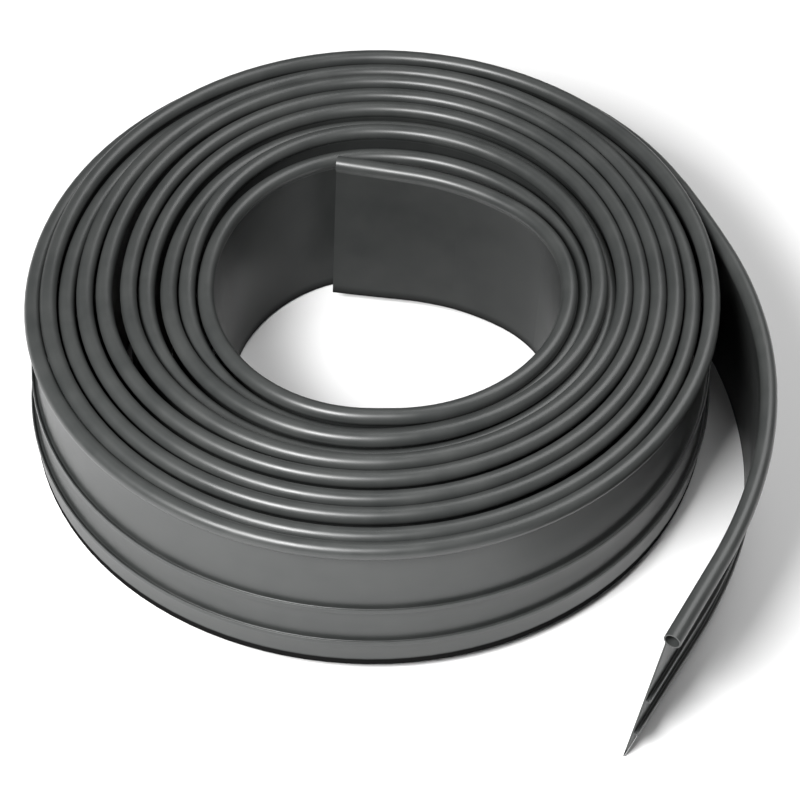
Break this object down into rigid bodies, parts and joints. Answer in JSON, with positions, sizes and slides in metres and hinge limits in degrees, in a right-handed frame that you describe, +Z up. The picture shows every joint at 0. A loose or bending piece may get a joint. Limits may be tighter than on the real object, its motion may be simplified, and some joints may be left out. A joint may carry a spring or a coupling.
{
  "type": "coiled landscape edging",
  "caption": "Coil of flexible plastic lawn edging: a hollow bead along a thin web with hooked ribs, its outer end running free and its inner end standing off into the eye.",
  "frame": {"origin": "the coil's axis, at the level of the floor it stands on", "axes": "+Z up along the coil's axis, web edge down and bead up; -Y toward the viewer, the free tail passing the right side (+X) toward -Y"},
  "size_m": [0.5087, 0.5601, 0.1237],
  "materials": {
    "strip": "satin charcoal polyethylene, as extruded"
  },
  "bodies": {
    "coil": {"turn_01_left": "strip", "turn_01_right": "strip", "turn_02_left": "strip", "turn_02_right": "strip", "turn_03_left": "strip", "turn_03_right": "strip", "turn_04_left": "strip", "turn_04_right": "strip", "turn_05_left": "strip", "turn_05_right": "strip", "turn_06_left": "strip", "turn_06_right": "strip", "turn_07_left": "strip", "turn_07_right": "strip", "turn_08_left": "strip", "turn_08_right": "strip", "turn_09_left": "strip", "turn_09_right": "strip", "turn_10_left": "strip", "turn_10_right": "strip", "turn_01_lead": "strip"},
    "tail_1": {"tail_1": "strip"},
    "tail_2": {"tail_2": "strip"},
    "tail_3": {"tail_3": "strip"},
    "tail_4": {"tail_4": "strip"},
    "tail_5": {"tail_5": "strip"},
    "tail_6": {"tail_6": "strip"},
    "flap_1": {"flap_1": "strip"},
    "flap_2": {"flap_2": "strip"},
    "flap_3": {"flap_3": "strip"}
  },
  "joints": [
    {"name": "tail_1_bend", "type": "hinge", "parent": "coil", "child": "tail_1", "pos_m": [0.21657, 0.10627, 0.1094], "axis": [0, 0, 1], "range_deg": [-2, 8], "stiffness_Nm_per_rad": 2.4},
    {"name": "tail_2_bend", "type": "hinge", "parent": "tail_1", "child": "tail_2", "pos_m": [0.24339, 0.03818, 0.1094], "axis": [0, 0, 1], "range_deg": [-3, 8], "stiffness_Nm_per_rad": 2.4},
    {"name": "tail_3_bend", "type": "hinge", "parent": "tail_2", "child": "tail_3", "pos_m": [0.2592, -0.03312, 0.1094], "axis": [0, 0, 1], "range_deg": [-4, 8], "stiffness_Nm_per_rad": 2.4},
    {"name": "tail_4_bend", "type": "hinge", "parent": "tail_3", "child": "tail_4", "pos_m": [0.25856, -0.10616, 0.1094], "axis": [0, 0, 1], "range_deg": [-4, 8], "stiffness_Nm_per_rad": 2.4},
    {"name": "tail_5_bend", "type": "hinge", "parent": "tail_4", "child": "tail_5", "pos_m": [0.24213, -0.17735, 0.1094], "axis": [0, 0, 1], "range_deg": [-4, 8], "stiffness_Nm_per_rad": 2.4},
    {"name": "tail_6_bend", "type": "hinge", "parent": "tail_5", "child": "tail_6", "pos_m": [0.2121, -0.24399, 0.1094], "axis": [0, 0, 1], "range_deg": [-3, 8], "stiffness_Nm_per_rad": 2.4},
    {"name": "flap_1_bend", "type": "hinge", "parent": "coil", "child": "flap_1", "pos_m": [0.13266, 0.00164, 0.118], "axis": [0, 0, 1], "range_deg": [-0.5, 10], "stiffness_Nm_per_rad": 2.4},
    {"name": "flap_2_bend", "type": "hinge", "parent": "flap_1", "child": "flap_2", "pos_m": [0.09624, 0.0716, 0.118], "axis": [0, 0, 1], "range_deg": [-0.5, 8], "stiffness_Nm_per_rad": 2.4},
    {"name": "flap_3_bend", "type": "hinge", "parent": "flap_2", "child": "flap_3", "pos_m": [0.0239, 0.10688, 0.118], "axis": [0, 0, 1], "range_deg": [-0.5, 6], "stiffness_Nm_per_rad": 2.4}
  ]
}
